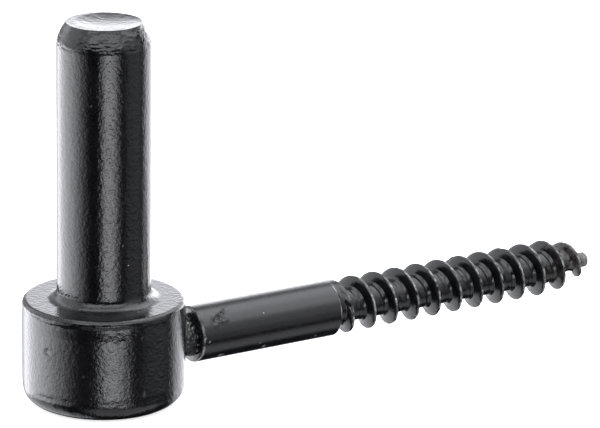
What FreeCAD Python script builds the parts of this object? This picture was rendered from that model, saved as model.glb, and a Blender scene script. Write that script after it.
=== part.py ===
"""Gate hinge pin on a wood screw: a forged pin with a collar, a coarse screw and the weld between them.

Millimetres. The origin is the centre of the collar's underside, +Z runs up the pin and +X along the screw.
"""
import FreeCAD, Part
import math
import os

import Sketcher

Vector = FreeCAD.Vector

# Driving dimensions
SIZES = {
    "pin_diameter": 16.0,
    "pin_length": 48.0,
    "pin_tip_round_width": 1.6,
    "pin_tip_round_height": 3.2,
    "pin_root_fillet": 1.8,
    "collar_diameter": 27.8,
    "collar_height": 18.1,
    "collar_top_round": 0.8,
    "collar_base_round": 3.2,
    "screw_height": 8.6,
    "weld_length": 3.0,
    "weld_diameter": 6.8,
    "weld_bulge": 0.3,
    "shank_diameter": 9.8,
    "shank_end_bevel": 0.3,
    "plain_shank_length": 28.5,
    "screw_length": 85.2,
    "thread_diameter": 9.8,
    "thread_root_diameter": 6.1,
    "thread_pitch": 4.62,
    "thread_crest_width": 0.35,
    "thread_trailing_flank": 0.65,
    "thread_leading_flank": 0.8,
    "thread_runout": 3.6,
    "tip_taper_length": 11.0,
    "tip_fade": 1.6,
    "tip_diameter": 2.8,
    "tip_length": 0.8,
    "tip_bevel": 0.4,
}

# Points that carry each edge line of the thread through one turn
POINTS_PER_TURN = 20

# Two lengths closer than this are the same length
SAME_LENGTH = 1e-6

# The least volume that counts as a cut
LEAST_CUT = 1e-3

doc = FreeCAD.newDocument("gate_hinge_pin")


def make_sheet():
    """The driving dimensions as aliased cells."""
    sheet = doc.addObject("Spreadsheet::Sheet", "sizes")
    for row, (alias, value) in enumerate(SIZES.items(), start=1):
        sheet.set(f"A{row}", alias.replace("_", " "))
        sheet.set(f"B{row}", str(value))
        sheet.setAlias(f"B{row}", alias)
    doc.recompute()
    return sheet


def make_body(label):
    body = doc.addObject("PartDesign::Body", label)
    body.Label = label
    return body


def attached_sketch(body, plane, name):
    """An empty sketch on one of the body's own origin planes."""
    sketch = body.newObject("Sketcher::SketchObject", name)
    support = next(item for item in body.Origin.OriginFeatures if item.Role == plane)
    sketch.AttachmentSupport = [(support, "")]
    sketch.MapMode = "FlatFace"
    return sketch


def bind_corner(sketch, line, across, up):
    """Tie the start of a line to two expressions, or to an axis where the expression is zero."""
    origin, start = -1, 1
    axes = {"DistanceX": -2, "DistanceY": -1}
    for kind, expression in (("DistanceX", across), ("DistanceY", up)):
        if expression == "0":
            sketch.addConstraint(Sketcher.Constraint("PointOnObject", line, start, axes[kind]))
            continue
        length = sketch.evalExpression(expression)
        index = sketch.addConstraint(Sketcher.Constraint(kind, origin, 1, line, start, length))
        sketch.setExpression(f"Constraints[{index}]", expression)


def arch(start, end):
    """An arc from one point to another, with its centre level with its start."""
    across, up = start.x - end.x, end.y - start.y
    radius = (across ** 2 + up ** 2) / (2.0 * across)
    circle = Part.Circle(Vector(start.x - radius, start.y, 0), Vector(0, 0, 1), radius)
    return Part.ArcOfCircle(circle, 0.0, math.atan2(up, radius - across))


def profile_sketch(body, plane, name, corners, arched=None):
    """A closed outline whose corners are pairs of expressions, with straight sides but for the arched one."""
    sketch = attached_sketch(body, plane, name)
    count = len(corners)
    places = [Vector(sketch.evalExpression(across), sketch.evalExpression(up), 0) for across, up in corners]
    for i in range(count):
        start, end = places[i], places[(i + 1) % count]
        sketch.addGeometry(arch(start, end) if i == arched else Part.LineSegment(start, end))
    for i in range(count):
        sketch.addConstraint(Sketcher.Constraint("Coincident", i, 2, (i + 1) % count, 1))
    if arched is not None:
        sketch.addConstraint(Sketcher.Constraint("Horizontal", arched, 3, arched, 1))
    for i, (across, up) in enumerate(corners):
        bind_corner(sketch, i, across, up)
    doc.recompute()
    return sketch


def revolve(body, sketch, axis, name):
    feature = body.newObject("PartDesign::Revolution", name)
    feature.Profile = sketch
    feature.ReferenceAxis = (sketch, [axis])
    feature.Angle = 360
    doc.recompute()
    return feature


def circle_edge(feature, radius, height):
    """The name of the circular edge with this radius at this height."""
    for number, edge in enumerate(feature.Shape.Edges, start=1):
        circle = edge.Curve
        if not isinstance(circle, Part.Circle):
            continue
        if abs(circle.Radius - radius) < SAME_LENGTH and abs(circle.Center.z - height) < SAME_LENGTH:
            return f"Edge{number}"
    raise RuntimeError(f"no circle of radius {radius} at height {height}")


def fillet(body, name, base, radius, height, size):
    """A fillet on the circular edge with this radius and height."""
    feature = body.newObject("PartDesign::Fillet", name)
    feature.Base = (base, [circle_edge(base, radius, height)])
    feature.setExpression("Radius", size)
    doc.recompute()
    return feature


def make_pin_and_collar(sheet):
    """The forged piece: one turned outline with a rounded tip, then its fillet and rounds."""
    body = make_body("pin_and_collar")
    pin_radius = "sizes.pin_diameter / 2"
    collar_radius = "sizes.collar_diameter / 2"
    pin_top = "sizes.collar_height + sizes.pin_length"
    outline = profile_sketch(body, "XZ_Plane", "pin_outline", [
        ("0", "0"),
        (collar_radius, "0"),
        (collar_radius, "sizes.collar_height"),
        (pin_radius, "sizes.collar_height"),
        (pin_radius, f"{pin_top} - sizes.pin_tip_round_height"),
        (f"{pin_radius} - sizes.pin_tip_round_width", pin_top),
        ("0", pin_top),
    ], arched=4)
    turned = revolve(body, outline, "V_Axis", "turned_piece")
    pin_r = sheet.pin_diameter / 2
    collar_r = sheet.collar_diameter / 2
    top = sheet.collar_height
    rooted = fillet(body, "pin_root", turned, pin_r, top, "sizes.pin_root_fillet")
    rounded = fillet(body, "collar_edge", rooted, collar_r, top, "sizes.collar_top_round")
    fillet(body, "collar_base", rounded, collar_r, 0.0, "sizes.collar_base_round")
    return body


def make_weld_neck():
    """The weld metal: a slightly bulged neck, cut to sit on the collar's round side."""
    body = make_body("weld_neck")
    inner_end = "sizes.collar_diameter / 4"
    shank_end = "sizes.collar_diameter / 2 + sizes.weld_length"
    middle = "sizes.collar_diameter / 2 + sizes.weld_length / 2"
    radius = "sizes.weld_diameter / 2"
    outline = profile_sketch(body, "XZ_Plane", "neck_outline", [
        (inner_end, "0"),
        (shank_end, "0"),
        (shank_end, radius),
        (middle, f"{radius} + sizes.weld_bulge"),
        (inner_end, radius),
    ])
    neck = revolve(body, outline, "H_Axis", "neck")
    seat = attached_sketch(body, "XY_Plane", "collar_side")
    seat.addGeometry(Part.Circle(Vector(0, 0, 0), Vector(0, 0, 1), 1.0))
    seat.addConstraint(Sketcher.Constraint("Coincident", 0, 3, -1, 1))
    diameter = seat.addConstraint(Sketcher.Constraint("Diameter", 0, 2.0))
    seat.setExpression(f"Constraints[{diameter}]", "sizes.collar_diameter")
    whole = neck.Shape.Volume
    pocket = body.newObject("PartDesign::Pocket", "seat_on_collar")
    pocket.Profile = seat
    pocket.Type = "ThroughAll"
    pocket.Midplane = True
    doc.recompute()
    if pocket.Shape.Volume > whole - LEAST_CUT:
        raise RuntimeError("the weld's seat cut nothing")
    body.setExpression("Placement.Base.z", "sizes.screw_height")
    return body


def ease(part):
    """A smooth rise from 0 to 1."""
    part = min(max(part, 0.0), 1.0)
    return part * part * (3.0 - 2.0 * part)


def soft_larger(one, two, softness):
    """The larger of two lengths, with a smooth change from one to the other."""
    return (one + two + math.hypot(one - two, softness)) / 2.0


def on_screw(x, radius, turn):
    """A point on the screw: turn 0 is its top, and turns are right-handed along +X."""
    angle = 2.0 * math.pi * turn
    return Vector(x, -radius * math.sin(angle), radius * math.cos(angle))


def winding_curve(x_at, radius_at, turns):
    """A smooth line round the screw. It runs half a turn past both ends, which keeps the used part true."""
    steps = range(-POINTS_PER_TURN // 2, round((turns + 0.5) * POINTS_PER_TURN) + 1)
    places = [step / POINTS_PER_TURN for step in steps]
    curve = Part.BSplineCurve()
    curve.interpolate(Points=[on_screw(x_at(t), radius_at(t), t) for t in places], Parameters=places)
    return curve


def stretch(curve, first, last):
    """One stretch of a winding line, between two turn values."""
    part = curve.copy()
    part.segment(first, last)
    return part


class Thread:
    """The four edge lines of the helical ridge, from the plain shank to the tip.

    At every turn the ridge rises from its trailing foot to the crest and falls to its leading foot. In the
    first turn it is still part of the shank. The groove starts at nothing beside the shank's square end,
    reaches full depth along the run-out and thins with the core at the tip.
    """

    def __init__(self, sheet):
        self.sheet = sheet
        self.shank_radius = sheet.shank_diameter / 2
        self.crest_radius = sheet.thread_diameter / 2
        self.root_radius = sheet.thread_root_diameter / 2
        self.tip_radius = sheet.tip_diameter / 2
        half_crest = sheet.thread_crest_width / 2
        self.offsets = {
            "trailing_foot": -half_crest - sheet.thread_trailing_flank,
            "trailing_crest": -half_crest,
            "leading_crest": half_crest,
            "leading_foot": half_crest + sheet.thread_leading_flank,
        }
        groove_start = sheet.plain_shank_length + sheet.thread_crest_width
        self.start = groove_start + self.offsets["leading_foot"] - sheet.thread_pitch
        self.nearest = {"leading_crest": sheet.plain_shank_length, "leading_foot": groove_start}
        end = sheet.screw_length - sheet.tip_length - self.offsets["leading_foot"]
        self.turns = round((end - self.start) / sheet.thread_pitch, 1)
        self.last_turn = round(self.turns - 1.0, 1)
        self.taper_start = sheet.screw_length - sheet.tip_taper_length
        self.curves = {name: self.edge_line(name) for name in self.offsets}

    def centre(self, turn):
        return self.start + self.sheet.thread_pitch * turn

    def place(self, name, turn):
        """Distance along the screw. Lines ahead of the ridge stay clear of the plain shank."""
        x = self.centre(turn) + self.offsets[name]
        if name in self.nearest:
            return soft_larger(x, self.nearest[name], self.sheet.thread_crest_width / 2)
        return x

    def crest(self, turn):
        """Crest radius: from the shank's to the thread's, then an ogive that fades onto the tip."""
        x = self.centre(turn)
        radius = self.shank_radius + (self.crest_radius - self.shank_radius) * ease(turn - 1.0)
        drop = self.crest_radius - self.tip_radius
        length = self.sheet.tip_taper_length
        arc_radius = (length ** 2 + drop ** 2) / (2.0 * drop)
        along = max(x - self.taper_start, 0.0)
        radius -= arc_radius - math.sqrt(arc_radius ** 2 - along ** 2)
        left = ease((self.turns - turn) * self.sheet.thread_pitch / self.sheet.tip_fade)
        return self.tip_radius + (radius - self.tip_radius) * left

    def groove(self, turn):
        """Groove floor radius: the shank's before the run-out, the root's, then the core's taper."""
        depth_share = ease(turn * self.sheet.thread_pitch / self.sheet.thread_runout)
        radius = self.shank_radius + (self.root_radius - self.shank_radius) * depth_share
        x, x_end = self.centre(turn), self.centre(self.last_turn)
        taper = min(max((x - self.taper_start) / (x_end - self.taper_start), 0.0), 1.0)
        return radius + (self.tip_radius - radius) * taper

    def radius(self, name, turn):
        if name == "trailing_foot":
            return self.groove(turn - 1.0)
        if name == "leading_foot":
            return self.groove(turn)
        return self.crest(turn)

    def edge_line(self, name):
        return winding_curve(
            lambda turn: self.place(name, turn),
            lambda turn: self.radius(name, turn),
            self.turns,
        )

    def line(self, name, first, last):
        return stretch(self.curves[name], first, last)

    def spans(self):
        """Stretches of at most half a turn, also cut where the last turn before the tip begins."""
        halves = {round(k / 2.0, 1) for k in range(int(2.0 * self.turns) + 1)}
        from_tip = {round(self.turns - k, 1) for k in range(int(self.turns) + 1)}
        cuts = sorted(halves | from_tip)
        return list(zip(cuts, cuts[1:]))


def turned_sector(profile, first, last):
    """Part of a turned skin: the profile points revolved about the screw between two turn values."""
    wire = Part.makePolygon([on_screw(x, radius, first) for x, radius in profile])
    return wire.revolve(Vector(0, 0, 0), Vector(1, 0, 0), 360.0 * (last - first)).Faces


def ring(x, radius, first, last):
    """One stretch of a circle about the screw, between two turn values."""
    middle = (first + last) / 2.0
    return Part.Arc(*[on_screw(x, radius, turn) for turn in (first, middle, last)])


def strip(behind, ahead):
    """The ruled face between two lines round the screw."""
    return behind.makeRuledSurface(ahead).toShape()


def screw_faces(sheet, thread):
    """The screw's whole skin: shank end, plain shank, helical thread and blunt tip."""
    shank_ring = sheet.plain_shank_length - sheet.thread_crest_width / 2
    shank_profile = [
        (0.0, 0.0),
        (0.0, thread.shank_radius - sheet.shank_end_bevel),
        (sheet.shank_end_bevel, thread.shank_radius),
        (shank_ring, thread.shank_radius),
    ]
    tip_ring = sheet.screw_length - sheet.tip_bevel
    tip_profile = [
        (tip_ring, thread.tip_radius),
        (sheet.screw_length, thread.tip_radius - sheet.tip_bevel),
        (sheet.screw_length, 0.0),
    ]
    names = list(thread.offsets)
    faces = []
    for first, last in thread.spans():
        lines = {name: thread.line(name, first, last) for name in names}
        if last <= 1.0:
            shank_end = ring(shank_ring, thread.shank_radius, first, last)
            faces += turned_sector(shank_profile, first, last)
            faces.append(strip(shank_end, lines["leading_crest"]))
            faces.append(strip(lines["leading_crest"], lines["leading_foot"]))
        else:
            for behind, ahead in zip(names, names[1:]):
                faces.append(strip(lines[behind], lines[ahead]))
        if last <= thread.last_turn:
            next_foot = thread.line("trailing_foot", first + 1.0, last + 1.0)
            faces.append(strip(lines["leading_foot"], next_foot))
        else:
            tip_start = ring(tip_ring, thread.tip_radius, first, last)
            faces += turned_sector(tip_profile, first, last)
            faces.append(strip(lines["leading_foot"], tip_start))
    return faces


def make_wood_screw(sheet):
    """The screw as one solid inside its sewn skin."""
    skin = Part.makeCompound(screw_faces(sheet, Thread(sheet)))
    skin.sewShape()
    screw = doc.addObject("Part::Feature", "wood_screw")
    screw.Label = "wood_screw"
    screw.Shape = Part.makeSolid(skin.Shells[0])
    screw.setExpression("Placement.Base.x", "sizes.collar_diameter / 2 + sizes.weld_length")
    screw.setExpression("Placement.Base.z", "sizes.screw_height")
    doc.recompute()
    return screw


def write_parts(parts):
    """Check every object and shape, then write one file for each sub-part."""
    failed = [item.Label for item in doc.Objects if {"Invalid", "Error"} & set(item.State)]
    if failed:
        raise RuntimeError(f"failed objects: {failed}")
    for part in parts:
        shape = part.Shape
        if shape.isNull() or not shape.isValid() or len(shape.Solids) != 1 or shape.Volume <= 0:
            raise RuntimeError(f"bad shape: {part.Label}")
    os.makedirs("parts", exist_ok=True)
    for part in parts:
        part.Shape.exportStep(f"parts/{part.Label}.step")
        print(part.Label, round(part.Shape.Volume, 1))


sizes_sheet = make_sheet()
sub_parts = [make_pin_and_collar(sizes_sheet), make_wood_screw(sizes_sheet), make_weld_neck()]
doc.recompute()
write_parts(sub_parts)
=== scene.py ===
import math

import bmesh
import bpy
from mathutils import Matrix, Vector, noise


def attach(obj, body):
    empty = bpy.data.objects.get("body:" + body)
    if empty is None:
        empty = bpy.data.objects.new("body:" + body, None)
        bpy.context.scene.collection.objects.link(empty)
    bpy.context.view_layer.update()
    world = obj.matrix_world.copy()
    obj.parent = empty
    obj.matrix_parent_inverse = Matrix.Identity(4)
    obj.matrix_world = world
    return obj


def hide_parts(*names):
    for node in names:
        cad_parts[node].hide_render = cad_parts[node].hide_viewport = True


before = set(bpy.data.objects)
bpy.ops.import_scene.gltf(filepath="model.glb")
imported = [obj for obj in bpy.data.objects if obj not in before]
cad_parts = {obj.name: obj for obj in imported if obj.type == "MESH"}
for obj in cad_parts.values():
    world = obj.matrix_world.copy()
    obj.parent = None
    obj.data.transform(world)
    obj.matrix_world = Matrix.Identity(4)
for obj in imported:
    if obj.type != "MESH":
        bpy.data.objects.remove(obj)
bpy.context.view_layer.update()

MM = 0.001

# Sizes of the solids, in millimetres. The collar is 0.015 under the solid's radius, to stay inside its box.
PIN_RADIUS = 8.0
PIN_TOP = 66.1
PIN_FACE_RADIUS = 6.4
TIP_ROUND_FOOT = 62.9
TIP_ROUND_RADIUS = 4.0
TIP_ROUND_ANGLE = 53.13
ROOT_FILLET = 1.8
COLLAR_RADIUS = 13.885
COLLAR_HEIGHT = 18.1
COLLAR_ROUND = 0.8
BASE_ROUND = 3.2
SCREW_HEIGHT = 8.6
SHANK_START = 16.9
SHANK_RADIUS = 4.9
SHANK_BEVEL = 0.3
PLAIN_SHANK = 28.5
SCREW_LENGTH = 85.2
ROOT_RADIUS = 3.05
PITCH = 4.62
HALF_CREST = 0.175
TRAILING_FLANK = 0.65
LEADING_FLANK = 0.8
TIP_TAPER = 11.0
TIP_RADIUS = 1.4
TIP_LENGTH = 0.8
TIP_BEVEL = 0.4
WELD_RADIUS = 3.4
WELD_BULGE = 0.3

# Mesh fineness: vertices round each piece, and rows of them along each stretch
PIN_SEGMENTS = 240
PIN_FACE_ROWS = 20
TIP_ROUND_ROWS = 30
TIP_LINE_ROWS = 10
PIN_SIDE_ROWS = 138
ROOT_FILLET_ROWS = 16
SHOULDER_ROWS = 14
COLLAR_ROUND_ROWS = 12
RIM_LIP_ROWS = 14
COLLAR_SIDE_ROWS = 48
BASE_ROUND_ROWS = 22
BASE_ROWS = 8
SCREW_SEGMENTS = 128
SHANK_END_ROWS = 9
SHANK_BEVEL_ROWS = 3
SHANK_ROWS = 96
FLANK_ROWS = 7
GROOVE_ROWS = 22
SCREW_TIP_ROWS = 4
WELD_SEGMENTS = 96
WELD_ROWS = 36

# Edges that turn by more than this are shaded sharp
SHARP_ANGLE = math.radians(38.0)

# Camera, fitted to the outlines of the photograph
CAMERA_PLACE = (-0.3451, -0.5798, 0.2352)
CAMERA_AZIMUTH = math.radians(-33.559)
CAMERA_ELEVATION = math.radians(16.68)
CAMERA_ROLL = math.radians(0.841)
CAMERA_LENS = 251.2
CAMERA_REACH = 100.0
SENSOR_WIDTH = 36.0

# Fractal noise: how fast its detail weakens, the step from one size to the next, and the number of sizes
ROUGH_FALL = 0.9
ROUGH_STEP = 2.1
ROUGH_OCTAVES = 3

# Heights at which noise that doesn't change along an axis is read
FIRST_SLICE = 0.0
SECOND_SLICE = 5.0


def ease(share):
    """Smooth step from 0 to 1."""
    share = min(max(share, 0.0), 1.0)
    return share * share * (3.0 - 2.0 * share)


def blend(low, high, share):
    return low + (high - low) * share


def turn_between(angle, middle):
    """The angle from one direction to another, between minus and plus half a turn."""
    return (angle - middle + math.pi) % (2.0 * math.pi) - math.pi


def waves(x, y, z, size):
    """Smooth noise between -1 and 1 with features of one size, in millimetres."""
    return noise.noise(Vector((x, y, z)) / size)


def rough(x, y, z, size):
    """Noise with finer detail inside it, roughly between -1 and 1."""
    return noise.fractal(Vector((x, y, z)) / size, ROUGH_FALL, ROUGH_STEP, ROUGH_OCTAVES)


def run(start, end, steps):
    """Even steps from one profile point to another, without the last point."""
    shares = [step / steps for step in range(steps)]
    return [(blend(start[0], end[0], share), blend(start[1], end[1], share)) for share in shares]


def arc(centre, radius, first, last, steps):
    """Profile points on an arc given by two angles in degrees, without the last point."""
    angles = [math.radians(blend(first, last, step / steps)) for step in range(steps)]
    return [(centre[0] + radius * math.cos(a), centre[1] + radius * math.sin(a)) for a in angles]


class Variation:
    """A value that varies over a surface: its mean, and the depth and size in millimetres of its noise."""

    def __init__(self, mean, depth, size, kind=waves):
        self.mean = mean
        self.depth = depth
        self.size = size
        self.kind = kind

    def at(self, x, y, z):
        return self.mean + self.depth * self.kind(x, y, z, self.size)


# Dents, in shares of the distance from a mark's middle to its edge
LIP_PLACE = 1.15
LIP_WIDTH = 0.3
DENT_REACH = 2.2
BARE_SLOPE = 1.2


class Dent:
    """A mark pressed or scratched into a round surface.

    angle is in degrees round the surface and place in millimetres along it. length runs along the axis before
    the mark is turned by tilt degrees. A lip stands round the hollow, and bare shows the metal in it.
    """

    def __init__(self, angle, place, length, width, depth, tilt=0.0, lip=0.0, bare=0.0):
        self.angle = math.radians(angle)
        self.place = place
        self.length = length
        self.width = width
        self.depth = depth
        self.tilt = math.radians(tilt)
        self.lip = lip
        self.bare = bare

    def distance(self, angle, place, radius):
        """1 at the mark's edge, 0 in its middle."""
        across = turn_between(angle, self.angle) * radius
        along = place - self.place
        u = across * math.cos(self.tilt) + along * math.sin(self.tilt)
        v = along * math.cos(self.tilt) - across * math.sin(self.tilt)
        return math.hypot(u / self.width, v / self.length)

    def drop(self, distance):
        hollow = self.depth * (1.0 - ease(distance))
        rim = self.lip * math.exp(-((distance - LIP_PLACE) / LIP_WIDTH) ** 2)
        return hollow - rim

    def bareness(self, distance):
        return self.bare * (1.0 - ease(1.0 - BARE_SLOPE * (1.0 - distance)))


def press(dents, angle, place, radius):
    """The drop and the share of bare metal that dents give to one place on a round surface."""
    drop, wear_and_highlight = 0.0, 0.0
    for dent in dents:
        distance = dent.distance(angle, place, radius)
        if distance < DENT_REACH:
            drop += dent.drop(distance)
            wear_and_highlight = max(wear_and_highlight, dent.bareness(distance))
    return drop, wear_and_highlight


class Surface:
    """Vertices, faces and the share of bare metal at each vertex of one mesh, which on the screw also holds a
    painted highlight.
    """

    def __init__(self):
        self.points = []
        self.wear_and_highlight = []
        self.faces = []

    def add(self, point, wear_and_highlight=0.0):
        self.points.append(point)
        self.wear_and_highlight.append(min(max(wear_and_highlight, 0.0), 1.0))
        return len(self.points) - 1

    def join_rings(self, one, two):
        """Quads between two closed rings of as many vertices."""
        count = len(one)
        for i in range(count):
            j = (i + 1) % count
            self.faces.append((one[i], one[j], two[j], two[i]))

    def close_ring(self, ring, pole):
        count = len(ring)
        for i in range(count):
            self.faces.append((ring[i], pole, ring[(i + 1) % count]))

    def build(self, name, material, node):
        mesh = bpy.data.meshes.new(name)
        mesh.from_pydata([Vector(p) * MM for p in self.points], [], self.faces)
        attribute = mesh.attributes.new("wear_and_highlight", "FLOAT", "POINT")
        attribute.data.foreach_set("value", self.wear_and_highlight)
        mesh.polygons.foreach_set("use_smooth", [True] * len(mesh.polygons))
        mesh.materials.append(material)
        facing = bmesh.new()
        facing.from_mesh(mesh)
        bmesh.ops.recalc_face_normals(facing, faces=facing.faces)
        facing.to_mesh(mesh)
        facing.free()
        mesh.set_sharp_from_angle(angle=SHARP_ANGLE)
        piece = bpy.data.objects.new(name, mesh)
        bpy.context.scene.collection.objects.link(piece)
        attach(piece, "root")
        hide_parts(node)


# Pin and collar

PIN_DENTS = [
    Dent(angle=-130.4, place=28.9, length=0.9, width=0.35, depth=0.05, tilt=35, lip=0.01),
    Dent(angle=-97.5, place=29.4, length=0.35, width=0.2, depth=0.06, tilt=-20, bare=0.2),
    Dent(angle=-107.5, place=25.5, length=0.4, width=0.25, depth=0.06, lip=0.015, bare=0.1),
    Dent(angle=-75.4, place=22.2, length=0.7, width=0.3, depth=0.05, tilt=50),
    Dent(angle=-137.6, place=55.7, length=2.6, width=0.12, depth=0.04, tilt=8),
    Dent(angle=-136.4, place=53.6, length=0.3, width=0.2, depth=0.05, bare=0.1),
]

COLLAR_DENTS = [
    Dent(angle=-163.9, place=11.7, length=0.8, width=0.9, depth=0.09, lip=0.03),
    Dent(angle=-139.6, place=13.6, length=0.9, width=0.22, depth=0.08, tilt=40, lip=0.02),
    Dent(angle=-142.5, place=15.3, length=0.4, width=0.4, depth=0.07),
    Dent(angle=-134.6, place=8.5, length=0.2, width=0.22, depth=0.09, lip=0.03, bare=0.15),
    Dent(angle=-91.2, place=5.3, length=1.9, width=0.14, depth=0.05, tilt=-8, bare=0.08),
    Dent(angle=-92.9, place=14.9, length=0.7, width=0.14, depth=0.05, tilt=30, bare=0.08),
    Dent(angle=-99.7, place=14.9, length=0.3, width=0.2, depth=0.05, bare=0.1),
    Dent(angle=-124.1, place=12.1, length=0.5, width=0.5, depth=-0.03),
]

# The pin's tip lies part of the way from the solid's arc to its chord
TIP_FLATNESS = 0.5

# Hollow in the pin's top face, which is flat in the solid
PIN_DISH = 0.5
DISH_RADIUS = 5.6
DISH_PLACE = (0.75, 0.1)
FACE_MARGIN = 0.1
FACE_UNEVEN = Variation(-0.035, 0.02, 1.5, rough)

# Broken line round the foot of the tip
TIP_LINE = 62.75
TIP_LINE_FOOT = TIP_LINE - 0.6
TIP_LINE_DEPTH = 0.035
TIP_LINE_WIDTH = 0.26
TIP_LINE_SWAY = Variation(0.0, 0.2, 2.0)
TIP_LINE_BREAKS = Variation(0.5, 1.3, 4.0)

# Hollow under the collar's rim: how deep, at which angle and how far round, and its edges below the round
RIM_LIP = 0.2
RIM_LIP_ANGLE = math.radians(-130.0)
RIM_LIP_FADE = math.radians(24.0)
RIM_LIP_REACH = 1.7
RIM_LIP_ELSEWHERE = 0.2
RIM_LIP_TOP = 0.1
RIM_LIP_ENTRY = 0.7
RIM_LIP_FOOT = 3.2
RIM_LIP_EXIT = 2.2
RIM_LIP_FINE_ROWS = 2.4
RIM_LIP_SWAY = Variation(0.0, 0.3, 2.0)
RIM_LIP_BREAKS = Variation(1.0, 0.8, 2.6)

# Unevenness of the coat, and the bands of it that run past the tip's round, the rim and the base round
COAT_SWELL = Variation(0.014, 0.014, 3.0)
COAT_EDGE = 0.5
TIP_CRUMPLE = Variation(0.05, 0.07, 1.2, rough)
TIP_CRUMPLE_SQUEEZE = 2.6
TIP_BAND = 0.8
TIP_BAND_FADE = 0.5
RIM_CRUMPLE = Variation(0.03, 0.05, 1.1, rough)
RIM_BAND = 0.3
BASE_CRUMPLE = Variation(0.04, 0.05, 2.2, rough)
BASE_BAND = 1.2
BASE_BAND_EDGE = 0.2

# Radius of the rings next to the poles, and of the zone round the axis that keeps its radius
PIN_POLE_RING = 0.3
POLE_ZONE = 0.5

# A point this near to the end of a stretch still belongs to it
SEAM = 0.01
COLLAR_SIDE_ZONE = 0.6


def pin_profile():
    """Radius and height from the pin's top down its side and over the collar to the base."""
    side = COLLAR_RADIUS - COLLAR_ROUND
    foot = PIN_RADIUS + ROOT_FILLET
    base = COLLAR_RADIUS - BASE_ROUND
    rim = COLLAR_HEIGHT - COLLAR_ROUND
    lip_end = COLLAR_HEIGHT - RIM_LIP_FINE_ROWS
    tip_centre = (PIN_RADIUS - TIP_ROUND_RADIUS, TIP_ROUND_FOOT)
    root_centre = (foot, COLLAR_HEIGHT + ROOT_FILLET)
    points = run((PIN_POLE_RING, PIN_TOP), (PIN_FACE_RADIUS - FACE_MARGIN, PIN_TOP), PIN_FACE_ROWS)
    tip_arc = arc(tip_centre, TIP_ROUND_RADIUS, TIP_ROUND_ANGLE, 0.0, TIP_ROUND_ROWS)
    chord = run((PIN_FACE_RADIUS, PIN_TOP), (PIN_RADIUS, TIP_ROUND_FOOT), TIP_ROUND_ROWS)
    for arc_point, chord_point in zip(tip_arc, chord):
        points.append(tuple(blend(a, b, TIP_FLATNESS) for a, b in zip(arc_point, chord_point)))
    points += run((PIN_RADIUS, TIP_ROUND_FOOT), (PIN_RADIUS, TIP_LINE_FOOT), TIP_LINE_ROWS)
    points += run((PIN_RADIUS, TIP_LINE_FOOT), (PIN_RADIUS, COLLAR_HEIGHT + ROOT_FILLET), PIN_SIDE_ROWS)
    points += arc(root_centre, ROOT_FILLET, 180.0, 270.0, ROOT_FILLET_ROWS)
    points += run((foot, COLLAR_HEIGHT), (side, COLLAR_HEIGHT), SHOULDER_ROWS)
    points += arc((side, rim), COLLAR_ROUND, 90.0, 0.0, COLLAR_ROUND_ROWS)
    points += run((COLLAR_RADIUS, rim), (COLLAR_RADIUS, lip_end), RIM_LIP_ROWS)
    points += run((COLLAR_RADIUS, lip_end), (COLLAR_RADIUS, BASE_ROUND), COLLAR_SIDE_ROWS)
    points += arc((base, BASE_ROUND), BASE_ROUND, 0.0, -90.0, BASE_ROUND_ROWS)
    points += run((base, 0.0), (PIN_POLE_RING, 0.0), BASE_ROWS)
    return points + [(PIN_POLE_RING, 0.0)]


def tip_line(x, y, height):
    """Depth of the broken line pressed round the foot of the pin's tip."""
    across = (height - TIP_LINE - TIP_LINE_SWAY.at(x, y, FIRST_SLICE)) / TIP_LINE_WIDTH
    share = max(TIP_LINE_BREAKS.at(x, y, SECOND_SLICE), 0.0)
    return TIP_LINE_DEPTH * share * math.exp(-across * across)


def rim_lip(x, y, height):
    """Depth of the hollow under the collar's ragged rim, deepest at the front, where the photo shows it."""
    turn = turn_between(math.atan2(y, x), RIM_LIP_ANGLE)
    share = blend(RIM_LIP_ELSEWHERE, 1.0, ease(RIM_LIP_REACH - abs(turn) / RIM_LIP_FADE))
    below = COLLAR_HEIGHT - COLLAR_ROUND - height + RIM_LIP_SWAY.at(x, y, FIRST_SLICE)
    hollow = ease((below - RIM_LIP_TOP) / RIM_LIP_ENTRY) * ease((RIM_LIP_FOOT - below) / RIM_LIP_EXIT)
    return RIM_LIP * share * hollow * max(RIM_LIP_BREAKS.at(x, y, SECOND_SLICE), 0.0)


def pin_dish(x, y):
    """Depth of the hollow in the pin's top face, which lies off its middle."""
    distance = math.hypot(x - DISH_PLACE[0], y - DISH_PLACE[1]) / DISH_RADIUS
    return PIN_DISH * max(1.0 - distance * distance, 0.0)


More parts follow.
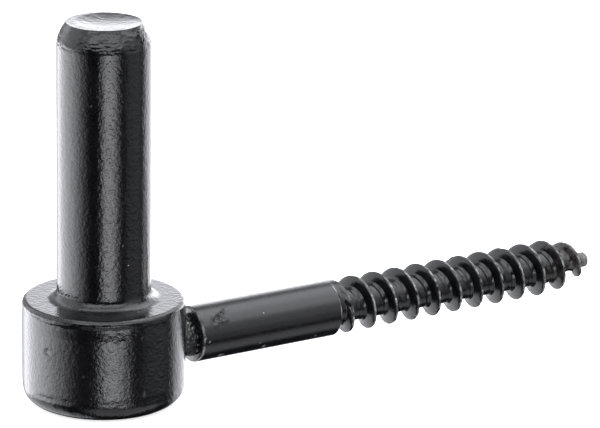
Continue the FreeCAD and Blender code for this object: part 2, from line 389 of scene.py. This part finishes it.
def pin_point(radius, height, angle):
    """One vertex of the pin or collar with its unevenness, and its share of bare metal."""
    x, y = radius * math.cos(angle), radius * math.sin(angle)
    rim = COLLAR_HEIGHT - COLLAR_ROUND
    on_pin = height > COLLAR_HEIGHT + ROOT_FILLET - SEAM
    on_collar = height < rim + SEAM and radius > COLLAR_RADIUS - COLLAR_SIDE_ZONE
    drop = 0.0
    if radius > PIN_FACE_RADIUS - COAT_EDGE and height > COAT_EDGE:
        drop += COAT_SWELL.at(x, y, height)
    if on_pin and height > TIP_ROUND_FOOT - TIP_BAND:
        upper = ease((PIN_TOP - height) / TIP_BAND_FADE)
        lower = ease((height - TIP_ROUND_FOOT + TIP_BAND) / TIP_BAND)
        drop += upper * lower * TIP_CRUMPLE.at(x, y, height * TIP_CRUMPLE_SQUEEZE)
        drop += tip_line(x, y, height)
    if rim - RIM_BAND < height and COLLAR_RADIUS - COLLAR_ROUND < radius:
        drop += RIM_CRUMPLE.at(x, y, height)
    if on_collar:
        drop += rim_lip(x, y, height)
    if height < BASE_ROUND + BASE_BAND and radius > COLLAR_RADIUS - BASE_ROUND + BASE_BAND_EDGE:
        drop += ease(BASE_ROUND + BASE_BAND - height) * BASE_CRUMPLE.at(x, y, height)
    dents = PIN_DENTS if on_pin else COLLAR_DENTS if on_collar else []
    pressed, wear_and_highlight = press(dents, angle, height, radius)
    drop += pressed
    if on_pin and radius < PIN_FACE_RADIUS - FACE_MARGIN / 2.0:
        height -= pin_dish(x, y)
        height += FACE_UNEVEN.at(x, y, height)
    share = max(1.0 - drop / radius, 0.0) if radius > POLE_ZONE else 1.0
    return (x * share, y * share, height), wear_and_highlight


def make_pin(material):
    surface = Surface()
    angles = [2.0 * math.pi * i / PIN_SEGMENTS for i in range(PIN_SEGMENTS)]
    rings = []
    for radius, height in pin_profile():
        rings.append([surface.add(*pin_point(radius, height, angle)) for angle in angles])
    for upper, lower in zip(rings, rings[1:]):
        surface.join_rings(lower, upper)
    surface.close_ring(list(reversed(rings[0])), surface.add((0.0, 0.0, PIN_TOP - pin_dish(0.0, 0.0))))
    surface.close_ring(rings[-1], surface.add((0.0, 0.0, 0.0)))
    surface.build("pin_and_collar_coated", material, "pin_and_collar")


# Wood screw

class Streaks:
    """Noise drawn out along the thread.

    across and around say how often it changes across a face and in one turn. place is the slice it is
    read from.
    """

    def __init__(self, depth, across, around, place):
        self.depth = depth
        self.across = across
        self.around = around
        self.place = place

    def at(self, share, turn):
        return self.depth * waves(share * self.across, turn * self.around, self.place, 1.0)


SHANK_DENTS = [
    Dent(angle=42.0, place=20.9, length=1.1, width=0.6, depth=0.4, tilt=20, lip=0.12, bare=0.1),
    Dent(angle=52.0, place=21.8, length=0.9, width=0.35, depth=0.32, tilt=-30, lip=0.12, bare=0.1),
    Dent(angle=37.0, place=19.8, length=0.45, width=0.7, depth=0.26, lip=0.1),
    Dent(angle=-46.8, place=21.4, length=0.8, width=0.3, depth=0.1, tilt=10, bare=0.8),
    Dent(angle=-43.5, place=30.1, length=0.5, width=0.25, depth=0.09, tilt=-15, bare=0.7),
    Dent(angle=-29.3, place=28.8, length=0.3, width=0.18, depth=0.06, bare=0.4),
    Dent(angle=-43.0, place=40.7, length=0.25, width=0.2, depth=0.06, bare=0.6),
    Dent(angle=6.1, place=17.5, length=0.15, width=0.15, depth=0.05, bare=0.8),
    Dent(angle=-2.6, place=18.2, length=0.15, width=0.15, depth=0.05, bare=0.8),
]

# Run-out at the shank and fade at the tip, both shorter than the solid's
RUN_OUT = 2.6
TIP_FADE = 0.5

# Places along the screw, from the shank's end
TRAILING_FOOT = -HALF_CREST - TRAILING_FLANK
LEADING_FOOT = HALF_CREST + LEADING_FLANK
GROOVE_START = PLAIN_SHANK + 2.0 * HALF_CREST
THREAD_START = GROOVE_START + LEADING_FOOT - PITCH
THREAD_END = SCREW_LENGTH - TIP_LENGTH - LEADING_FOOT
TURNS = round((THREAD_END - THREAD_START) / PITCH, 1)
LAST_TURN = TURNS - 1.0
TAPER_START = SCREW_LENGTH - TIP_TAPER
SHANK_RING = THREAD_START + TRAILING_FOOT - 2.0 * HALF_CREST

# Column of the leading foot in each row of the thread
LEADING_COLUMN = 2 * FLANK_ROWS + 2

# Crest: the ridge's height at which its marks are full, its nicks, sway and rounded edges, and its wear; then
# bare steel painted along the first turn's rim as a painted highlight
FREE_HEIGHT = 0.8
NICKS = Variation(-0.2, 1.0, 1.3, rough)
NICK_DEPTH = 0.2
CREST_SWAY = Variation(0.0, 0.05, 2.5)
CREST_ROUND = 0.04
CREST_WEAR = Variation(0.32, 0.9, 0.8)
EDGE_WEAR = 0.3
# Bare steel painted on the rim where the first turn leaves the shank: a painted highlight, not wear
SHANK_RIM_PAINTED_HIGHLIGHT = Variation(0.35, 0.8, 1.1)

# Flanks: powers that round them, and the scores along the trailing one
TRAILING_POWER = 1.6
LEADING_POWER = 1.15
SCORES = Streaks(depth=0.05, across=4.0, around=1.1, place=6.3)
SCORE_RISE = 3.0

# Groove: the depth at which its streaks are full, the streaks, and the fillet at the next ridge's foot
FULL_GROOVE = 1.2
BROAD_STREAKS = Streaks(depth=1.0, across=4.5, around=1.6, place=3.7)
FINE_STREAKS = Streaks(depth=0.35, across=10.0, around=4.0, place=8.1)
STREAK_DEPTH = 0.09
STREAK_MEAN = 0.045
STREAK_RISE = 5.0
FOOT_FILLET = 0.2
FILLET_START = 0.8
FILLET_SHARE = 0.2

# Shank: its unevenness, and the ragged rim at its end
SHANK_SWELL = Variation(0.012, 0.012, 3.5)
SHANK_SIDE_ZONE = 0.5
SHANK_END_BAND = 0.45
SHANK_END_ZONE = 0.2
SHANK_END_CRUMPLE = Variation(0.04, 0.05, 0.9, rough)
SHANK_END_WEAR = Variation(0.2, 0.8, 1.4)
SHANK_POLE_RING = 0.4

# Blunt tip
TIP_SEAM = 0.05
TIP_UNEVEN = Variation(0.03, 0.05, 0.8, rough)
TIP_WEAR = 0.15
TIP_POLE_RING = 0.2


def on_screw(along, radius, turn):
    """A point of the screw, from its place along the axis, its radius and its turn from the top."""
    angle = 2.0 * math.pi * turn
    return SHANK_START + along, -radius * math.sin(angle), SCREW_HEIGHT + radius * math.cos(angle)


def soft_larger(one, two):
    """The larger of two lengths, with a smooth change from one to the other."""
    return (one + two + math.hypot(one - two, HALF_CREST)) / 2.0


def ridge_centre(turn):
    return THREAD_START + PITCH * turn


def crest_radius(turn):
    """The shank's radius, then an ogive that fades onto the tip."""
    drop = SHANK_RADIUS - TIP_RADIUS
    ogive = (TIP_TAPER ** 2 + drop ** 2) / (2.0 * drop)
    along = max(ridge_centre(turn) - TAPER_START, 0.0)
    radius = SHANK_RADIUS - ogive + math.sqrt(ogive ** 2 - along ** 2)
    return blend(TIP_RADIUS, radius, ease((TURNS - turn) * PITCH / TIP_FADE))


def groove_radius(turn):
    """The shank's radius before the run-out, then the root's, then the core's taper."""
    radius = blend(SHANK_RADIUS, ROOT_RADIUS, ease(turn * PITCH / RUN_OUT))
    taper = (ridge_centre(turn) - TAPER_START) / (ridge_centre(LAST_TURN) - TAPER_START)
    return blend(radius, TIP_RADIUS, min(max(taper, 0.0), 1.0))


def thread_section(turn, with_root):
    """Place along the screw, radius and bareness across one ridge and the groove after it; on the first turn,
    the bareness at the rim is a painted highlight.
    """
    x = ridge_centre(turn)
    crest = crest_radius(turn)
    before = groove_radius(turn - 1.0)
    after = groove_radius(turn)
    free = ease((crest - before) / FREE_HEIGHT)
    place = on_screw(x, crest, turn)
    sway = CREST_SWAY.at(*place) * free
    bare = free * max(CREST_WEAR.at(*place), 0.0)
    crest -= max(NICKS.at(*place), 0.0) * NICK_DEPTH * free
    edge = crest - CREST_ROUND * free
    crest_end = soft_larger(x + HALF_CREST, PLAIN_SHANK) + sway
    foot = soft_larger(x + LEADING_FOOT, GROOVE_START)
    foot_radius = before + FOOT_FILLET * free
    section = []
    for step in range(FLANK_ROWS):
        share = step / FLANK_ROWS
        height = 1.0 - (1.0 - share) ** TRAILING_POWER
        scored = SCORES.at(share, turn) * ease(share * SCORE_RISE) * free
        along = blend(x + TRAILING_FOOT, x - HALF_CREST, share) + scored
        section.append((along, blend(foot_radius, edge, height), 0.0))
    section.append((x - HALF_CREST + sway, edge, EDGE_WEAR * bare))
    section.append((crest_end - HALF_CREST, crest, bare))
    # On the first turn, bare steel along the rim is a painted highlight, not wear
    rim_highlight = 0.0 if turn > 1.0 else max(SHANK_RIM_PAINTED_HIGHLIGHT.at(*place), 0.0)
    section.append((crest_end, edge, max(EDGE_WEAR * bare, rim_highlight)))
    for step in range(1, FLANK_ROWS + 1):
        share = step / FLANK_ROWS
        height = (1.0 - share) ** LEADING_POWER
        section.append((blend(crest_end, foot, share), blend(after, edge, height), 0.0))
    if with_root:
        next_foot = x + PITCH + TRAILING_FOOT
        depth = ease((crest - after) / FULL_GROOVE)
        for step in range(1, GROOVE_ROWS):
            share = step / GROOVE_ROWS
            inside = ease(share * STREAK_RISE) * ease((1.0 - share) * STREAK_RISE) * depth
            streak = BROAD_STREAKS.at(share, turn) + FINE_STREAKS.at(share, turn)
            rise = FOOT_FILLET * depth * max((share - FILLET_START) / FILLET_SHARE, 0.0) ** 2
            level = after + (STREAK_DEPTH * streak - STREAK_MEAN) * inside + rise
            section.append((blend(foot, next_foot, share), level, 0.0))
    return section


def shank_point(along, radius, turn):
    """One vertex of the plain shank with its unevenness, and its share of bare metal."""
    x, y, z = on_screw(along, radius, turn)
    drop = SHANK_SWELL.at(x, y, z)
    wear_and_highlight = 0.0
    if radius > SHANK_RADIUS - SHANK_SIDE_ZONE:
        pressed, wear_and_highlight = press(SHANK_DENTS, math.atan2(z - SCREW_HEIGHT, -y), x, radius)
        drop += pressed
    if along < SHANK_END_BAND and radius > SHANK_RADIUS - SHANK_END_ZONE:
        drop += SHANK_END_CRUMPLE.at(x, y, z)
        wear_and_highlight = max(wear_and_highlight, SHANK_END_WEAR.at(x, y, z))
    return on_screw(along, radius - drop, turn), wear_and_highlight


def add_shank(surface):
    """The end face, the bevel and the plain shank, up to the ring that is returned."""
    bevel = SHANK_RADIUS - SHANK_BEVEL
    profile = run((0.0, SHANK_POLE_RING), (0.0, bevel), SHANK_END_ROWS)
    profile += run((0.0, bevel), (SHANK_BEVEL, SHANK_RADIUS), SHANK_BEVEL_ROWS)
    profile += run((SHANK_BEVEL, SHANK_RADIUS), (SHANK_RING, SHANK_RADIUS), SHANK_ROWS)
    profile.append((SHANK_RING, SHANK_RADIUS))
    turns_round = [i / SCREW_SEGMENTS for i in range(SCREW_SEGMENTS)]
    rings = []
    for along, radius in profile:
        rings.append([surface.add(*shank_point(along, radius, turn)) for turn in turns_round])
    for behind, ahead in zip(rings, rings[1:]):
        surface.join_rings(ahead, behind)
    surface.close_ring(list(reversed(rings[0])), surface.add(on_screw(0.0, 0.0, 0.0)))
    return rings[-1]


def add_thread(surface, last_row, last_groove):
    """Rows of ridge and groove, wound turn after turn, each groove closed by the foot of the next ridge."""
    rows = []
    for row in range(last_row + 1):
        turn = row / SCREW_SEGMENTS
        own = []
        for along, radius, wear_and_highlight in thread_section(turn, row <= last_groove):
            own.append(surface.add(on_screw(along, radius, turn), wear_and_highlight))
        if row >= SCREW_SEGMENTS:
            rows[row - SCREW_SEGMENTS].append(own[0])
        rows.append(own)
    for one, two in zip(rows, rows[1:]):
        for column in range(min(len(one), len(two)) - 1):
            surface.faces.append((one[column], two[column], two[column + 1], one[column + 1]))
    return rows


def join_shank(surface, ring, rows):
    """Faces from the shank's last ring to the first turn's trailing foot."""
    for i in range(SCREW_SEGMENTS - 1):
        surface.faces.append((ring[i], ring[i + 1], rows[i + 1][0], rows[i][0]))
    surface.faces.append((ring[-1], ring[0], *rows[0], rows[SCREW_SEGMENTS - 1][0]))


def add_tip(surface, first_row):
    """The blunt tip, from the ring that is returned."""
    profile = [(SCREW_LENGTH - TIP_LENGTH + TIP_SEAM, TIP_RADIUS)]
    bevel = TIP_RADIUS - TIP_BEVEL
    profile += run((SCREW_LENGTH - TIP_BEVEL, TIP_RADIUS), (SCREW_LENGTH, bevel), SCREW_TIP_ROWS)
    profile += run((SCREW_LENGTH, bevel), (SCREW_LENGTH, TIP_POLE_RING), SCREW_TIP_ROWS)
    rings = []
    for along, radius in profile:
        ring = []
        for i in range(SCREW_SEGMENTS):
            turn = (first_row + i) / SCREW_SEGMENTS
            share = 1.0 - TIP_UNEVEN.at(*on_screw(along, radius, turn))
            ring.append(surface.add(on_screw(along, radius * share, turn), TIP_WEAR))
        rings.append(ring)
    for behind, ahead in zip(rings, rings[1:]):
        surface.join_rings(behind, ahead)
    surface.close_ring(rings[-1], surface.add(on_screw(SCREW_LENGTH, 0.0, 0.0), TIP_WEAR))
    return rings[0]


def join_tip(surface, rows, last_row, last_groove, ring):
    """Faces from the last turn's leading foot to the tip, with one for the step where the ridge ends."""
    feet = [rows[last_groove + i][LEADING_COLUMN] for i in range(SCREW_SEGMENTS + 1)]
    step = rows[last_groove][LEADING_COLUMN:] + rows[last_row][1:LEADING_COLUMN + 1]
    surface.faces.append((*step, ring[0], ring[1], feet[1]))
    for i in range(1, SCREW_SEGMENTS):
        surface.faces.append((feet[i], ring[i], ring[(i + 1) % SCREW_SEGMENTS], feet[i + 1]))


def make_screw(material):
    surface = Surface()
    last_row = round(TURNS * SCREW_SEGMENTS)
    last_groove = last_row - SCREW_SEGMENTS
    shank_ring = add_shank(surface)
    rows = add_thread(surface, last_row, last_groove)
    join_shank(surface, shank_ring, rows)
    tip_ring = add_tip(surface, last_groove)
    join_tip(surface, rows, last_row, last_groove, tip_ring)
    surface.build("wood_screw_coated", material, "wood_screw")


# Weld neck

# Flares at the collar and under the shank, as depths and shares of the weld's length
WELD_INSET = 0.15
COLLAR_FLARE = 0.25
COLLAR_FLARE_FALL = 3.0
SHANK_FLARE = 0.35
SHANK_FLARE_START = 0.55
SHANK_FLARE_SHARE = 0.45

# Lumps, wear, and the depth by which the ends reach into the neighbours
LUMP_SIZE = 1.1
WELD_WEAR = Variation(-0.35, 1.0, 0.45)
WELD_WEAR_GAIN = 1.2
INTO_COLLAR = 0.04
INTO_SHANK = 0.02
POLE_IN_COLLAR = 0.1


def lumps(side, up, share, depth, closeness):
    """Noise over the weld's skin."""
    return depth * rough(side * closeness, up * closeness, share * closeness, LUMP_SIZE)


def weld_point(share, turn):
    """One vertex of the weld, from its place between the collar and the shank."""
    angle = 2.0 * math.pi * turn
    side, up = -math.sin(angle), math.cos(angle)
    radius = WELD_RADIUS - WELD_INSET + WELD_BULGE * math.sin(math.pi * share)
    radius += COLLAR_FLARE * ease(1.0 - share * COLLAR_FLARE_FALL)
    radius += SHANK_FLARE * ease((share - SHANK_FLARE_START) / SHANK_FLARE_SHARE) * max(-up, 0.0)
    radius += lumps(side, up, share, depth=0.28, closeness=3.0)
    radius += lumps(side, up, share, depth=0.08, closeness=9.0)
    y, z = radius * side, radius * up
    on_collar = math.sqrt(COLLAR_RADIUS ** 2 - y ** 2) - INTO_COLLAR
    x = blend(on_collar, SHANK_START + INTO_SHANK, share)
    return x, y, SCREW_HEIGHT + z


def make_weld(material):
    surface = Surface()
    turns_round = [i / WELD_SEGMENTS for i in range(WELD_SEGMENTS)]
    rings = []
    for row in range(WELD_ROWS + 1):
        ring = []
        for turn in turns_round:
            point = weld_point(row / WELD_ROWS, turn)
            wear_and_highlight = max(WELD_WEAR.at(*point), 0.0) * WELD_WEAR_GAIN
            ring.append(surface.add(point, wear_and_highlight))
        rings.append(ring)
    for behind, ahead in zip(rings, rings[1:]):
        surface.join_rings(ahead, behind)
    collar_pole = surface.add((COLLAR_RADIUS - POLE_IN_COLLAR, 0.0, SCREW_HEIGHT))
    surface.close_ring(list(reversed(rings[0])), collar_pole)
    shank_pole = surface.add((SHANK_START + INTO_SHANK, 0.0, SCREW_HEIGHT))
    surface.close_ring(rings[-1], shank_pole)
    surface.build("weld_neck_coated", material, "weld_neck")


# Materials

WHOLE = (0.0, 1.0)
BLACK = (0.001, 0.001, 0.0012)
DULL_BLACK = (0.0028, 0.0028, 0.0032)
BARE_STEEL = (0.56, 0.55, 0.53)
CHIP = (0.34, 0.34, 0.35)
RUST = (0.075, 0.063, 0.053)

# Share of a fleck's radius over which its edge fades
FLECK_EDGE = 0.25

# Rust sets in between these two places along X, in metres, and reaches this share
RUST_STRETCH = (0.091, 0.1)
RUST_SHARE = (0.0, 0.6)


class Shading:
    """A new node material with its shader, and short ways to add and link nodes."""

    def __init__(self, name):
        self.material = bpy.data.materials.new(name)
        self.material.use_nodes = True
        self.tree = self.material.node_tree
        self.shader = self.tree.nodes["Principled BSDF"]
        self.place = self.add("ShaderNodeTexCoord").outputs["Object"]

    def add(self, kind, **settings):
        node = self.tree.nodes.new(kind)
        for name, value in settings.items():
            setattr(node, name, value)
        return node

    def link(self, source, target):
        self.tree.links.new(source, target)

    def noise(self, size, detail):
        """Noise with features of one size in millimetres, as a value round 0.5."""
        node = self.add("ShaderNodeTexNoise")
        node.inputs["Scale"].default_value = 1.0 / (size * MM)
        node.inputs["Detail"].default_value = detail
        self.link(self.place, node.inputs["Vector"])
        return node.outputs["Fac"]

    def remap(self, value, span, to):
        """The value with one range stretched onto another."""
        node = self.add("ShaderNodeMapRange")
        self.link(value, node.inputs["Value"])
        node.inputs["From Min"].default_value = span[0]
        node.inputs["From Max"].default_value = span[1]
        node.inputs["To Min"].default_value = to[0]
        node.inputs["To Max"].default_value = to[1]
        return node.outputs["Result"]

    def math(self, operation, one, two):
        node = self.add("ShaderNodeMath", operation=operation)
        self.link(one, node.inputs[0])
        self.link(two, node.inputs[1])
        return node.outputs["Value"]

    def mix(self, factor, one, two):
        """Mix of two colours, each a plain colour or a node's output."""
        node = self.add("ShaderNodeMix", data_type="RGBA")
        self.link(factor, node.inputs["Factor"])
        for name, value in (("A", one), ("B", two)):
            socket = [s for s in node.inputs if s.name == name and s.type == "RGBA"][0]
            if isinstance(value, tuple):
                socket.default_value = (*value, 1.0)
            else:
                self.link(value, socket)
        return [s for s in node.outputs if s.type == "RGBA"][0]

    def flecks(self, cell, largest, share):
        """Mask of small round flecks in some of the cells of one size in millimetres."""
        node = self.add("ShaderNodeTexVoronoi")
        node.inputs["Scale"].default_value = 1.0 / (cell * MM)
        self.link(self.place, node.inputs["Vector"])
        parts = self.add("ShaderNodeSeparateColor")
        self.link(node.outputs["Color"], parts.inputs["Color"])
        size = self.remap(parts.outputs["Red"], (1.0 - share, 1.0), (0.0, largest / cell))
        inside = self.math("SUBTRACT", size, node.outputs["Distance"])
        return self.remap(inside, (0.0, FLECK_EDGE * largest / cell), WHOLE)

    def bump(self, height, distance, strength=1.0, before=None):
        """Bumps of one height in millimetres, on top of those before them."""
        node = self.add("ShaderNodeBump")
        node.inputs["Strength"].default_value = strength
        node.inputs["Distance"].default_value = distance * MM
        self.link(height, node.inputs["Height"])
        if before is not None:
            self.link(before, node.inputs["Normal"])
        return node.outputs["Normal"]

    def wear_and_highlight(self):
        return self.add("ShaderNodeAttribute", attribute_name="wear_and_highlight").outputs["Fac"]

    def finish(self, colour, roughness, normal, metal=None):
        self.link(colour, self.shader.inputs["Base Color"])
        self.link(roughness, self.shader.inputs["Roughness"])
        self.link(normal, self.shader.inputs["Normal"])
        if metal is not None:
            self.link(metal, self.shader.inputs["Metallic"])
        return self.material


def pin_coat():
    s = Shading("black_coat")
    patches = s.remap(s.noise(6.0, detail=4.0), (0.35, 0.7), WHOLE)
    colour = s.mix(patches, BLACK, DULL_BLACK)
    specks = s.flecks(cell=3.8, largest=0.1, share=0.3)
    colour = s.mix(s.math("MAXIMUM", s.wear_and_highlight(), specks), colour, CHIP)
    roughness = s.remap(s.noise(1.6, detail=4.0), (0.3, 0.7), (0.1, 0.17))
    peel = s.bump(s.noise(0.85, detail=1.5), distance=0.047)
    grain = s.bump(s.noise(0.45, detail=2.0), distance=0.042, before=peel)
    normal = s.bump(s.noise(0.2, detail=2.0), distance=0.016, before=grain)
    return s.finish(colour, roughness, normal)


def screw_coat():
    s = Shading("worn_black_coat")
    patches = s.remap(s.noise(4.0, detail=4.0), (0.35, 0.7), WHOLE)
    colour = s.mix(patches, BLACK, DULL_BLACK)
    parts = s.add("ShaderNodeSeparateXYZ")
    s.link(s.place, parts.inputs["Vector"])
    toward_tip = s.remap(parts.outputs["X"], RUST_STRETCH, RUST_SHARE)
    rust_patches = s.remap(s.noise(1.2, detail=4.0), (0.4, 0.62), WHOLE)
    colour = s.mix(s.math("MULTIPLY", toward_tip, rust_patches), colour, RUST)
    worn_patches = s.remap(s.noise(0.35, detail=3.0), (0.38, 0.6), (0.25, 1.0))
    # The mesh's bare share is real wear plus the painted highlight on the first turn's rim; it turns the coat
    # to bare steel
    worn_and_highlight = s.math("MULTIPLY", s.wear_and_highlight(), worn_patches)
    specks = s.flecks(cell=3.0, largest=0.18, share=0.25)
    colour = s.mix(s.math("MAXIMUM", worn_and_highlight, specks), colour, BARE_STEEL)
    roughness = s.remap(s.noise(0.8, detail=4.0), (0.3, 0.7), (0.15, 0.26))
    normal = s.bump(s.noise(0.4, detail=3.0), distance=0.03)
    return s.finish(colour, roughness, normal, metal=worn_and_highlight)


def weld_coat():
    s = Shading("coated_weld")
    patches = s.remap(s.noise(0.6, detail=4.0), (0.4, 0.65), WHOLE)
    colour = s.mix(patches, BLACK, DULL_BLACK)
    specks = s.flecks(cell=0.7, largest=0.15, share=0.5)
    colour = s.mix(s.math("MAXIMUM", s.wear_and_highlight(), specks), colour, BARE_STEEL)
    roughness = s.remap(s.noise(0.5, detail=3.0), (0.3, 0.7), (0.25, 0.5))
    normal = s.bump(s.noise(0.35, detail=4.0), distance=0.08, strength=0.9)
    return s.finish(colour, roughness, normal)


# Floor, light and camera

AMBIENT = 0.015
LIGHT_TINT = (0.965, 0.985, 1.035, 1.0)

# Floor, in metres, a hair under the collar's base
FLOOR_HALF = 12.0
FLOOR_LEVEL = -0.00005
FLOOR_COLOUR = (0.7, 0.7, 0.7, 1.0)
FLOOR_ROUGHNESS = 0.9
FLOOR_GLOW_COLOUR = (1.0, 1.0, 1.0, 1.0)
FLOOR_GLOW = 0.7


class Dome:
    """Panels of soft light on the world, placed by azimuth from the camera to its right and by elevation."""

    def __init__(self):
        self.world = bpy.data.worlds.new("studio_dome")
        self.world.use_nodes = True
        self.tree = self.world.node_tree
        place = self.tree.nodes.new("ShaderNodeTexCoord")
        turned = self.tree.nodes.new("ShaderNodeVectorRotate")
        turned.rotation_type = "Z_AXIS"
        turned.inputs["Angle"].default_value = -CAMERA_AZIMUTH
        self.tree.links.new(place.outputs["Generated"], turned.inputs["Vector"])
        parts = self.tree.nodes.new("ShaderNodeSeparateXYZ")
        self.tree.links.new(turned.outputs["Vector"], parts.inputs["Vector"])
        ahead = self.math("MULTIPLY", parts.outputs["Y"], -1.0)
        bearing = self.math("ARCTAN2", parts.outputs["X"], ahead)
        self.azimuth = self.math("DEGREES", bearing)
        self.elevation = self.math("DEGREES", self.math("ARCSINE", parts.outputs["Z"]))
        self.light = AMBIENT

    def math(self, operation, one, two=0.0):
        node = self.tree.nodes.new("ShaderNodeMath")
        node.operation = operation
        for socket, value in zip(node.inputs, (one, two)):
            if isinstance(value, float):
                socket.default_value = value
            else:
                self.tree.links.new(value, socket)
        return node.outputs["Value"]

    def step(self, value, low, high):
        """Smooth change from 0 to 1 between two angles, or from 1 to 0 where the first is larger."""
        node = self.tree.nodes.new("ShaderNodeMapRange")
        node.interpolation_type = "SMOOTHSTEP"
        self.tree.links.new(value, node.inputs["Value"])
        node.inputs["From Min"].default_value = min(low, high)
        node.inputs["From Max"].default_value = max(low, high)
        node.inputs["To Min"].default_value = 0.0 if low < high else 1.0
        node.inputs["To Max"].default_value = 1.0 if low < high else 0.0
        return node.outputs["Result"]

    def panel(self, radiance, left=None, right=None, bottom=None, top=None):
        """A panel between edges that are pairs of angles: dark at the first, fully bright at the second."""
        share = radiance
        sides = [(self.azimuth, left), (self.azimuth, right), (self.elevation, bottom), (self.elevation, top)]
        for value, edge in sides:
            if edge is not None:
                share = self.math("MULTIPLY", share, self.step(value, *edge))
        self.light = self.math("ADD", self.light, share)

    def finish(self):
        background = self.tree.nodes["Background"]
        background.inputs["Color"].default_value = LIGHT_TINT
        self.tree.links.new(self.light, background.inputs["Strength"])
        bpy.context.scene.world = self.world


def make_light():
    """A wide panel on the left, a strip in front, a fill on the right, and a bright back and top."""
    dome = Dome()
    # Left, low and high, and a patch below at the far left
    dome.panel(5.3, left=(-165.0, -134.0), right=(-30.0, -96.0), bottom=(-31.0, -20.0), top=(-2.0, -14.0))
    dome.panel(1.9, left=(-150.0, -125.0), right=(-36.0, -80.0), bottom=(-14.0, -2.0), top=(62.0, 48.0))
    dome.panel(0.9, left=(-178.0, -152.0), right=(-112.0, -130.0), bottom=(-2.0, 12.0), top=(64.0, 46.0))
    dome.panel(1.5, left=(-168.0, -150.0), right=(-72.0, -98.0), bottom=(-80.0, -64.0), top=(-18.0, -36.0))
    # Front strip, and the panel above it
    dome.panel(5.9, left=(-9.0, 9.0), right=(48.0, 16.0), bottom=(-28.0, -19.0), top=(-7.0, -13.0))
    dome.panel(3.2, left=(-60.0, -40.0), right=(66.0, 46.0), bottom=(15.0, 25.0), top=(58.0, 50.0))
    # Right fill in three heights
    dome.panel(0.6, left=(50.0, 64.0), right=(108.0, 96.0), bottom=(-26.0, -14.0), top=(40.0, 26.0))
    dome.panel(0.5, left=(50.0, 64.0), right=(108.0, 96.0), bottom=(-4.0, 4.0), top=(40.0, 28.0))
    dome.panel(0.9, left=(-40.0, -10.0), right=(112.0, 96.0), bottom=(-88.0, -74.0), top=(-26.0, -42.0))
    # Back, with its lower part brighter on the right
    dome.panel(3.1, left=(112.0, 134.0), bottom=(-6.0, 3.0), top=(46.0, 8.0))
    dome.panel(3.1, right=(-163.0, -176.0), bottom=(-6.0, 3.0), top=(46.0, 8.0))
    dome.panel(2.8, left=(106.0, 130.0), bottom=(-40.0, -14.0), top=(12.0, 0.0))
    dome.panel(0.6, right=(-140.0, -165.0), bottom=(-40.0, -14.0), top=(12.0, 0.0))
    # Upper right and top
    dome.panel(3.1, left=(56.0, 72.0), right=(178.0, 150.0), bottom=(24.0, 40.0), top=(70.0, 60.0))
    dome.panel(2.8, bottom=(56.0, 66.0))
    dome.finish()


def make_floor():
    """A pale floor with a glow, so that it comes out as white as in the photo. Reflections don't show it."""
    corners = [
        (-FLOOR_HALF, -FLOOR_HALF, FLOOR_LEVEL),
        (FLOOR_HALF, -FLOOR_HALF, FLOOR_LEVEL),
        (FLOOR_HALF, FLOOR_HALF, FLOOR_LEVEL),
        (-FLOOR_HALF, FLOOR_HALF, FLOOR_LEVEL),
    ]
    mesh = bpy.data.meshes.new("floor")
    mesh.from_pydata(corners, [], [(0, 1, 2, 3)])
    material = bpy.data.materials.new("pale_floor")
    material.use_nodes = True
    shader = material.node_tree.nodes["Principled BSDF"]
    shader.inputs["Base Color"].default_value = FLOOR_COLOUR
    shader.inputs["Roughness"].default_value = FLOOR_ROUGHNESS
    shader.inputs["Specular IOR Level"].default_value = 0.0
    shader.inputs["Emission Color"].default_value = FLOOR_GLOW_COLOUR
    shader.inputs["Emission Strength"].default_value = FLOOR_GLOW
    mesh.materials.append(material)
    floor = bpy.data.objects.new("floor", mesh)
    bpy.context.scene.collection.objects.link(floor)
    floor.visible_glossy = False
    floor.visible_shadow = False


def camera_frame():
    """The camera's right, up and back directions."""
    sine, cosine = math.sin(CAMERA_AZIMUTH), math.cos(CAMERA_AZIMUTH)
    level = math.cos(CAMERA_ELEVATION)
    back = Vector((sine * level, -cosine * level, math.sin(CAMERA_ELEVATION)))
    right = Vector((cosine, sine, 0.0))
    up = back.cross(right)
    turn = Matrix.Rotation(CAMERA_ROLL, 3, back)
    return turn @ right, turn @ up, back


def make_camera():
    data = bpy.data.cameras.new("camera")
    data.lens = CAMERA_LENS
    data.sensor_width = SENSOR_WIDTH
    data.sensor_fit = "HORIZONTAL"
    data.clip_end = CAMERA_REACH
    camera = bpy.data.objects.new("camera", data)
    right, up, back = camera_frame()
    turn = Matrix((right, up, back)).transposed()
    camera.matrix_world = Matrix.Translation(CAMERA_PLACE) @ turn.to_4x4()
    bpy.context.scene.collection.objects.link(camera)
    bpy.context.scene.camera = camera


make_pin(pin_coat())
make_screw(screw_coat())
make_weld(weld_coat())
make_light()
make_floor()
make_camera()
bpy.context.scene.view_settings.view_transform = "Standard"
